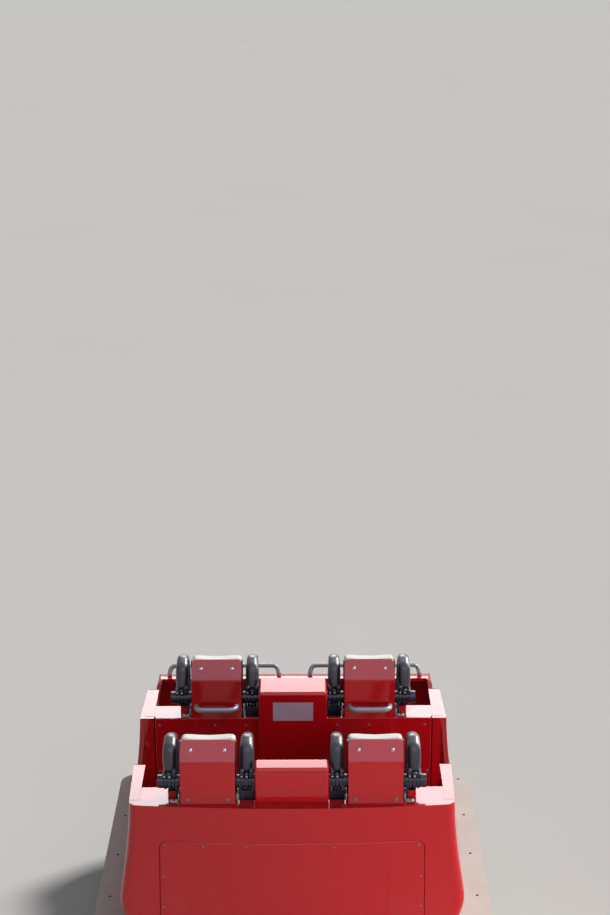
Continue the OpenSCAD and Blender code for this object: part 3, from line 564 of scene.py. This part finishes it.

# %% [markdown]
# The running gear is welded and machined steel under one coat of grey paint, and the
# restraints are the same in near-black, with a blue tint that is a painted sky reflection.
# Such parts are plain plates, tubes and turned pieces, so they keep their CAD form, with
# bevels of a few millimetres and finer ones on the thin brackets and the blank placard.

# %% Frame and fittings
fittings = [
    dressed("chassis_frame", frame_grey, 0.004),
    dressed("axles", frame_grey, 0.003),
    dressed("wheel_carriers", frame_grey, 0.003),
    dressed("restraint_pivots", restraint_black_painted_sky, 0.0035),
    dressed("front_coupling", frame_grey, 0.003),
    dressed("rear_coupling", frame_grey, 0.003),
    dressed("seat_brackets", bracket_metal, 0.0015),
    dressed("blank_placard", placard_painted_reflection, 0.0005),
]
for row, side, _ in corners:
    fittings.append(dressed(f"{row}_{side}_restraint", restraint_black_painted_sky, 0.002))
print("fittings", len(fittings))

# %% [markdown]
# Beside each seat the restraint turns between fixed parts: a shaft, collars, cheeks and an
# outer drum, on a foot that is red where it stands on the body. The real drum is slimmer
# than its solid, which keeps room for the motion. A new drum could be turned, but drawing
# the copy's points in towards the hinge line keeps everything else joined as it was.

# %% Pivot drums and feet
drum_from, drum_reach, drum_shrink = 0.7462, 0.056, 0.23
foot_from, foot_to, foot_reach, foot_below, foot_out = 0.70, 0.7505, 0.12, -0.045, 0.724
red_from, red_height = 0.679, 0.046

skin = bpy.data.objects["restraint_pivots_skin"].data
points = triples(skin.vertices, "co")
out_x, sign_x = np.abs(points[:, 0]), np.sign(points[:, 0])
for row in row_names:
    ahead = points[:, 1] - row_y[row] - pivot_ahead
    up = points[:, 2] - shoulder_z - pivot_up
    drum = (out_x > drum_from) & (np.hypot(ahead, up) < drum_reach)
    points[drum, 1] -= drum_shrink * ahead[drum]
    points[drum, 2] -= drum_shrink * up[drum]
    foot = ((out_x > foot_from) & (out_x < foot_to)
            & (np.abs(ahead) < foot_reach) & (up < foot_below))
    points[foot, 0] = sign_x[foot] * foot_out
    print(row, "drum points", int(drum.sum()), "foot points", int(foot.sum()))
skin.vertices.foreach_set("co", points.ravel())
skin.update()
skin.materials.append(paint_red)
middle = triples(skin.polygons, "center")
red = (np.abs(middle[:, 0]) > red_from) & (middle[:, 2] < shoulder_z + red_height)
skin.polygons.foreach_set("material_index", red.astype(np.int32))
print("red faces", int(red.sum()))

# %% [markdown]
# Each side plate is a sandwich: two aluminium skins on a brown laminate core. It could be
# three pieces, but picking the core's faces by their height keeps the layers one piece
# that can't come apart.

# %% Side plates
skin_depth = 0.0125
plates = dressed("reaction_plates", fin_metal, 0.0015)
plates.data.materials.append(fin_core)
plate_lo, plate_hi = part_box("reaction_plates")
face_z = triples(plates.data.polygons, "center")[:, 2]
core = (face_z > plate_lo.z + skin_depth) & (face_z < plate_hi.z - skin_depth)
plates.data.polygons.foreach_set("material_index", core.astype(np.int32))
print("core faces", int(core.sum()))

# %% [markdown]
# The pads are one-piece foam mouldings with a tough skin and no seams, so there is no
# sewn cover for a cloth simulation to blow up. The form is a stack of rounded rectangles
# that pull in over the last centimetres of height, and the top closes as a shallow
# saddle: high near both corners, low in the middle.

# %% The pad's surface
def pad_surface(lo, hi, edge=0.024, cols=128):
    """Rings between two corners. Each is a superellipse of power about 6: x goes with
    |cos a|^0.34 and y with |sin a|^0.34. At a height h from either end it is inset by
    e - sqrt(e^2 - (e - h)^2). Rings at both ends then run inwards. In the upper quarter z
    falls by 9 mm times cos^2 of the place across, and below half height the front draws
    back by up to 12 percent."""
    square, dip, draw = 0.34, 0.009, 0.12
    shares = np.array([0.8, 0.6, 0.4, 0.2, 0.05])
    a = np.linspace(0, 2 * np.pi, cols, endpoint=False)[None, :]
    x = np.sign(np.cos(a)) * np.abs(np.cos(a)) ** square
    y = np.sign(np.sin(a)) * np.abs(np.sin(a)) ** square
    bend = np.linspace(0, np.pi / 2, 10)
    end_h, end_in = edge * (1 - np.cos(bend)), edge * (1 - np.sin(bend))
    tall = hi.z - lo.z
    side_h = np.linspace(edge, tall - edge, 40)[1:-1]
    height = np.concatenate([0 * shares, end_h, side_h, tall - end_h[::-1],
                             tall + 0 * shares])[:, None]
    inset = np.concatenate([edge + 0 * shares, end_in, 0 * side_h, end_in[::-1],
                            edge + 0 * shares])[:, None]
    keep = np.ones_like(height)
    keep[:len(shares), 0], keep[-len(shares):, 0] = shares[::-1], shares
    wide, deep = (hi.x - lo.x) / 2, (hi.y - lo.y) / 2
    px = (wide - inset) * x * keep
    py = (deep - inset) * y * keep
    full = 1 - draw * np.clip(1 - height / (0.5 * tall), 0, 1) * (y > 0)
    top = np.clip((height - 0.75 * tall) / (0.25 * tall), 0, 1) ** 2
    pz = lo.z + height - dip * top * np.cos(np.clip(px / wide, -1, 1) * np.pi / 2) ** 2
    return np.stack([(lo.x + hi.x) / 2 + px, (lo.y + hi.y) / 2 + py * full, pz], axis=-1)


print("pad rings", pad_surface(pad_lo, pad_hi).shape)

# %% [markdown]
# Pads, sleeves, clamps and tubes are all rings of points with closed ends, because a real
# piece is never an open shell. One many-sided face could close an end, but a fan of
# triangles from the ring to its middle also works where the ring isn't flat.

# %% Closed tubes and the seat pads
def closed_tube(name, rings, material):
    """Quads between the rings, and at each end a fan of triangles to the end ring's
    middle."""
    rows, cols = rings.shape[:2]
    points = np.concatenate([rings.reshape(-1, 3), [rings[0].mean(0)], [rings[-1].mean(0)]])
    j = np.arange(cols)
    j1 = (j + 1) % cols
    low = np.stack([np.full(cols, rows * cols), j1, j], axis=1)
    last = (rows - 1) * cols
    top = np.stack([np.full(cols, rows * cols + 1), last + j, last + j1], axis=1)
    thing = put(name, points, grid_quads(rows, cols, wrap_cols=True), material,
                triangles=np.concatenate([low, top]))
    return cleaned(thing, merge=0)


for row, side, _ in corners:
    node = f"{row}_{side}_pad"
    pad = closed_tube(node + "_foam", pad_surface(*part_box(node)), pad_foam)
    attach(pad, "car")
    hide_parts(node)
print("pads", len(corners))

# %% [markdown]
# Tubes and sleeves are the same thing: a section carried along a bent centre line. A curve
# with a bevel could do it, but here the half widths change along the way. Each inner
# corner of the line becomes an arc, and the line is then walked at even steps.

# %% Bent lines and swept sections
def bent_line(points, bend, steps=12):
    """A polyline with each inner corner replaced by an arc of the bend radius. It works in
    two or three dimensions."""
    p = np.asarray(points, float)
    out = [p[0][None]]
    for a, b, c in zip(p[:-2], p[1:-1], p[2:]):
        u, v = (b - a) / np.linalg.norm(b - a), (c - b) / np.linalg.norm(c - b)
        angle = math.acos(float(u @ v))
        centre = b + (v - u) / np.linalg.norm(v - u) * bend / math.cos(angle / 2)
        first = b - u * bend * math.tan(angle / 2) - centre
        k = np.linspace(0, angle, steps)[:, None]
        out.append(centre + np.cos(k) * first + np.sin(k) * u * bend)
    out.append(p[-1][None])
    return np.concatenate(out)


def walked(line, spacing):
    """The polyline's points taken again at an even spacing, the unit way at each, and the
    length up to each."""
    step = np.linalg.norm(np.diff(line, axis=0), axis=1)
    reach = np.concatenate([[0], np.cumsum(step)])
    at = np.linspace(0, reach[-1], max(8, int(reach[-1] / spacing)))
    points = np.stack([np.interp(at, reach, line[:, k]) for k in range(line.shape[1])],
                      axis=1)
    way = np.gradient(points, axis=0)
    return points, way / np.linalg.norm(way, axis=1, keepdims=True), at


def swept(line, normal, across, along, sides=32, spacing=0.006, power=1.0):
    """Rings of an ellipse, or of a superellipse where the sine and cosine are taken to a
    power below 1. across is the half width along the fixed normal, along is the half width
    in the line's plane, and both may be functions of the length."""
    points, way, at = walked(np.asarray(line, float), spacing)
    normal = np.asarray(normal, float) / np.linalg.norm(normal)
    side = np.cross(way, normal)
    a = np.linspace(0, 2 * np.pi, sides, endpoint=False)
    c = (np.sign(np.cos(a)) * np.abs(np.cos(a)) ** power)[None, :, None]
    s = (np.sign(np.sin(a)) * np.abs(np.sin(a)) ** power)[None, :, None]
    wide, deep = ((half(at, at[-1]) if callable(half) else np.full(len(at), half))
                  [:, None, None] for half in (across, along))
    return points[:, None] + wide * c * normal + deep * s * side[:, None]


print("sweeps ready")

# %% [markdown]
# Three stepped blocks clamp each arm's root to the hub that turns it. They could be boxes
# with a bevel each, but a short upright sweep of a squarish section gives the same soft
# corners from a helper that is already here. They move with the arm, and the steps leave
# them 5 to 6 mm clear of the fixed collars.

# %% Arm clamps
clamp_steps = {  # how far out, half width, lower and upper end above the hinge line
    "inner": [(0.197, 0.0145, 0.049, 0.088), (0.226, 0.0145, 0.034, 0.066),
              (0.2535, 0.0135, 0.046, 0.086)],
    "outer": [(0.197, 0.0145, 0.049, 0.088), (0.226, 0.0145, 0.034, 0.066),
              (0.2535, 0.0135, 0.046, 0.060)],
}
clamp_half_depth, clamp_ahead = 0.045, 0.002


def clamped(body, place, hinge, middle_x, k):
    """The three blocks at one arm's root, at k times their distance from the seat's
    middle: -1 is the arm at its left and 1 the arm at its right."""
    for number, (out, half, low, top) in enumerate(clamp_steps[place], start=1):
        root = np.array([middle_x + k * out, *hinge])
        line = [root + np.array([0, clamp_ahead, t]) for t in (low, (low + top) / 2, top)]
        rings = swept(line, (1, 0, 0), half, clamp_half_depth, power=0.40)
        clamp = closed_tube(f"{body}_{place}_clamp_{number}", rings, restraint_black_painted_sky)
        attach(clamp, body)


print("clamp heights", [(low, top) for _, _, low, top in clamp_steps["inner"]])

# %% [markdown]
# Each arm of a restraint is a steel tube inside a thick foam sleeve that rises behind the
# shell, arches over it and comes down in front of the pad. The sleeve is widest at its
# root and slimmer over the arch, and its ends are eased in like a moulding's. It is swept
# as one surface, with tables of half widths along its length, so its outline can be tuned
# at one place without a new mesh.

# %% Arm sleeves
arm_line = np.array([[0.0096, 0.0608], [0.0517, 0.1841], [0.130, 0.212],
                     [0.2415, 0.1655], [0.317, 0.0377], [0.333, -0.160]])
arm_bend = 0.05
pivot = {row: np.array([row_y[row] + pivot_ahead, shoulder_z + pivot_up])
         for row in row_names}
arms = [(row, side, sx * seat_x, k, "inner" if k * sx < 0 else "outer")
        for row, side, sx in corners for k in (-1, 1)]


def eased(at, end, lip=0.014):
    """A quarter ellipse over the first and the last lip of length, from 0.7 up to 1."""
    k = np.clip(np.minimum(at, end - at) / lip, 0, 1)
    return 0.7 + 0.3 * np.sqrt(1 - (1 - k) ** 2)


def arm_across(at, end):
    """Half width across the arm: 41 mm near the root, and 34 mm past the arch."""
    return np.interp(at, [0.0, 0.03, 0.06, 0.12, 0.20, 0.30, end],
                     [0.034, 0.038, 0.041, 0.040, 0.036, 0.034, 0.036]) * eased(at, end)


def arm_along(at, end):
    """Half depth in the arm's plane: 34 mm at both ends, and 25 mm over the arch, where
    the line runs inside the solid's."""
    return np.interp(at, [0.0, 0.06, 0.13, 0.22, 0.34, 0.48, end],
                     [0.034, 0.033, 0.028, 0.025, 0.025, 0.029, 0.034]) * eased(at, end)


for row, side, middle_x, k, place in arms:
    body = f"{row}_{side}_restraint"
    flat = bent_line(arm_line + pivot[row], arm_bend)
    line = np.column_stack([np.full(len(flat), middle_x + k * arm_off), flat])
    rings = swept(line, (1, 0, 0), arm_across, arm_along, sides=48, power=0.86)
    pad = closed_tube(f"{body}_{place}_sleeve", rings, arm_foam)
    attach(pad, body)
    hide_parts(f"{row}_{side}_arm_pads")
    clamped(body, place, pivot[row], middle_x, k)
print("sleeves", len(arms), "clamps", 3 * len(arms))

# %% [markdown]
# The handles on the front shells and the grab bars on the cowl are bent tube, 32 mm
# through. The frame has them with sixteen sides, whose flats would show in the gloss, so
# here they are swept again as true rounds. The bars lean forward as they rise.

# %% Handles and grab bars
tube_r = 0.016
handle_half, handle_bend = 0.128, 0.045
handle_z = shoulder_z + 0.088
shell_y = row_y["front"] - 0.0025
handle_y = row_y["front"] - 0.063
sunk = 0.004
bar_in, bar_out, bar_splay, bar_bend = 0.108, 0.885, 0.016, 0.040
bar_rise, bar_lean = 0.054, 0.035
cowl_y = row_y["front"] + 1.057
foot_z = shoulder_z - 0.242 + 0.0015

for side, sx in both_sides:
    x0, x1 = sx * seat_x - handle_half, sx * seat_x + handle_half
    line = bent_line([(x0, shell_y + sunk, handle_z), (x0, handle_y, handle_z),
                      (x1, handle_y, handle_z), (x1, shell_y + sunk, handle_z)], handle_bend)
    rings = swept(line, (0, 0, 1), tube_r, tube_r)
    handle = closed_tube(f"{side}_back_handle", rings, tube_grey)
    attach(handle, "car")
    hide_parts("back_handles")

    x0, x1 = sx * bar_in, sx * bar_out
    line = bent_line([(x0, cowl_y + 0.090, foot_z),
                      (x0 + sx * bar_splay, cowl_y + 0.125, foot_z + bar_rise),
                      (x1 - sx * bar_splay, cowl_y + 0.125, foot_z + bar_rise),
                      (x1, cowl_y + 0.090, foot_z)], bar_bend)
    rings = swept(line, (0, bar_rise, -bar_lean), tube_r, tube_r)
    bar = closed_tube(f"{side}_grab_bar", rings, tube_grey)
    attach(bar, "car")
    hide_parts("grab_bars")
print("tubes", 4)

# %% [markdown]
# The wheels are machined metal hubs with a polyurethane tread. Four running wheels carry
# the car, four side wheels guide it and four small ones hold it down. All are round, so
# one closed profile turned about the axle gives each part, and the hub's web is thinner
# than its rim and its boss.

# %% Wheels
def turned(profile, sides, centre=(0, 0, 0), axis="z"):
    """A profile of (distance from the axle, place along it) turned about an axis."""
    p = np.asarray(profile, float)
    a = np.linspace(0, 2 * np.pi, sides, endpoint=False)
    flat = np.stack([p[:, None, 0] * np.cos(a), p[:, None, 0] * np.sin(a),
                     p[:, None, 1] + 0 * a], axis=-1)
    if axis == "x":
        flat = flat[..., [2, 0, 1]]
    return flat + np.asarray(centre)


def wheel_profiles(radius, width, bore):
    """The tread's and the hub's closed outlines. The tread is about a sixth of the radius
    thick with cut corners, and the hub steps from boss to web to rim."""
    h, thick, cut = width / 2, radius * 0.16, radius * 0.035
    inner = radius - thick
    tread = [(inner, -h + cut), (radius - cut, -h), (radius, -h + cut),
             (radius, h - cut), (radius - cut, h), (inner, h - cut)]
    rim = inner + 0.0005
    half = [(bore, h), (bore + 0.014, h), (bore + 0.016, h * 0.62), (rim * 0.80, h * 0.55),
            (rim * 0.86, h - 2 * cut), (rim, h - 2 * cut)]
    return tread, [(r, -x) for r, x in half] + half[::-1]


wheel_sides = 72
wheels = [("running", "x", 0.160, 0.120, 0.0251), ("side", "z", 0.090, 0.100, 0.0151),
          ("upstop", "x", 0.060, 0.110, 0.0151)]
for row, side, _ in corners:
    for kind, axis, radius, width, bore in wheels:
        node = f"{row}_{side}_{kind}_wheel"
        lo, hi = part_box(node)
        centre = [(lo[k] + hi[k]) / 2 for k in range(3)]
        tread, hub = wheel_profiles(radius, width, bore)
        for label, profile, material in (("tread", tread, tread_amber),
                                         ("hub", hub, hub_metal)):
            rings = turned(profile, wheel_sides, centre, axis).reshape(-1, 3)
            quads = grid_quads(len(profile), wheel_sides, wrap_rows=True, wrap_cols=True)
            part = cleaned(put(f"{node}_{label}", rings, quads, material))
            rounded_edges(part, 0.002, segments=2)
            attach(part, node)
            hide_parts(node)
print("wheels", len(corners) * len(wheels))

# %% [markdown]
# Small fasteners make the scale believable. Each could be an object of its own, but all
# the bolts of a kind are one mesh here: a turned head is copied to each place in a table
# by one array sum, with its own direction out of the surface.

# %% Heads of bolts and screws
def heads(name, places, ways, radius, height, material, body, sides=14):
    """Domed heads. Each is the profile below, in shares of the radius and the height,
    turned about its own way, which points out of the surface."""
    profile = [(1.0, -0.3), (1.0, 0.35), (0.92, 0.62), (0.60, 0.92), (0.001, 1.0)]
    local = turned(profile, sides).reshape(-1, 3) * (radius, radius, height)
    w = np.asarray(ways, float)
    w = w / np.linalg.norm(w, axis=1, keepdims=True)
    first = np.cross(w, np.where(np.abs(w[:, :1]) < 0.9, [[1.0, 0, 0]], [[0, 1.0, 0]]))
    first = first / np.linalg.norm(first, axis=1, keepdims=True)
    second = np.cross(w, first)
    points = (np.asarray(places)[:, None] + local[None, :, :1] * first[:, None]
              + local[None, :, 1:2] * second[:, None] + local[None, :, 2:] * w[:, None])
    quads = np.concatenate([grid_quads(len(profile), sides, wrap_cols=True,
                                       offset=k * len(local)) for k in range(len(places))])
    thing = cleaned(put(name, points.reshape(-1, 3), quads, material), merge=0.00005)
    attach(thing, body)
    print(name, len(places))
    return thing


print("heads ready")

# %% [markdown]
# The shells, the bulkhead and the hatch are held by rows of screws that face the rear. Most
# of these panels lean, so a head's depth and tilt can't be typed in well. A line from
# behind finds where it meets the panel, and the panel's normal there turns the head.

# %% Screws in the panels
def met(tree, x, z):
    """Where a line along Y, from far behind the car, first meets the faces, and the
    outward normal there."""
    place, normal, _, _ = tree.ray_cast(Vector((x, -4.0, z)), Vector((0, 1, 0)))
    return tuple(place), tuple(-normal if normal.y > 0 else normal)


def screwed(name, node, spots, radius, height, material):
    """Heads where lines from behind meet a node, for spots of (x, z above the
    shoulders)."""
    work = bmesh.new()
    work.from_mesh(nodes[node].data)
    tree = BVHTree.FromBMesh(work)
    work.free()
    places, ways = zip(*[met(tree, x, shoulder_z + up) for x, up in spots])
    return heads(name, places, ways, radius, height, material, "car")


for row in row_names:
    spots = [(s * seat_x + dx, 0.310) for s in (-1, 1) for dx in (-0.099, 0.099)]
    screwed(f"{row}_shell_upper_bolts", f"{row}_seat_shells", spots, 0.0115, 0.007,
            bolt_zinc)
spots = [(s * seat_x + dx, 0.022) for s in (-1, 1) for dx in (-0.117, 0.117)]
screwed("rear_shell_lower_bolts", "rear_seat_shells", spots, 0.010, 0.004, bolt_dull)
spots = [(x, -0.048) for x in (-0.855, -0.499, -0.303, 0.281, 0.486, 0.842)]
spots += [(s * 0.865, -0.376) for s in (-1, 1)]
screwed("bulkhead_screws", "bulkhead_panel", spots, 0.008, 0.003, bolt_dull)
spots = [(x, -0.232) for x in (-0.74, -0.516, -0.269, 0.245, 0.74)]
spots += [(s * 0.752, -down) for s in (-1, 1) for down in (0.42, 0.60)]
screwed("hatch_screws", "rear_hatch", spots, 0.007, 0.0025, bolt_dull)
print("panels screwed")

# %% [markdown]
# Two bolts go into each arm's clamps and turn with the restraint. Each pivot's foot ends in
# a small squarish flange with two bolts that hold it to the body's shoulder. Parts this
# small could be cut into the solids, but they touch nothing that moves, so they are made
# only here: the flanges are low sweeps like the clamps, and their bolts stand on them.

# %% Bolts at the restraints and the feet
for row, side, sx in corners:
    body = f"{row}_{side}_restraint"
    spots = [(sx * seat_x + k * arm_off + dx, row_y[row] + 0.058, shoulder_z + 0.150)
             for k in (-1, 1) for dx in (-0.028, 0.002)]
    heads(f"{body}_clamp_bolts", spots, [(0, -1, 0.0)] * len(spots), 0.0065, 0.005,
          bolt_zinc, body)

flange_x, flange_ahead, flange_wide, flange_deep, bolt_off = 0.688, 0.046, 0.026, 0.020, 0.013
flanges = [(s * flange_x, y + flange_ahead) for y in row_y.values() for s in (-1, 1)]
for number, (x, y) in enumerate(flanges, start=1):
    line = [(x, y, shoulder_z + t) for t in (-0.004, -0.001, 0.002)]
    rings = swept(line, (1, 0, 0), flange_wide, flange_deep, power=0.35)
    plate = closed_tube(f"foot_flange_{number}", rings, bracket_metal)
    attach(plate, "car")
spots = [(x + dx, y, shoulder_z + 0.002) for x, y in flanges for dx in (-bolt_off, bolt_off)]
heads("foot_bolts", spots, [(0, 0, 1)] * len(spots), 0.0085, 0.008, bolt_zinc, "car")
print("flanges", len(flanges))
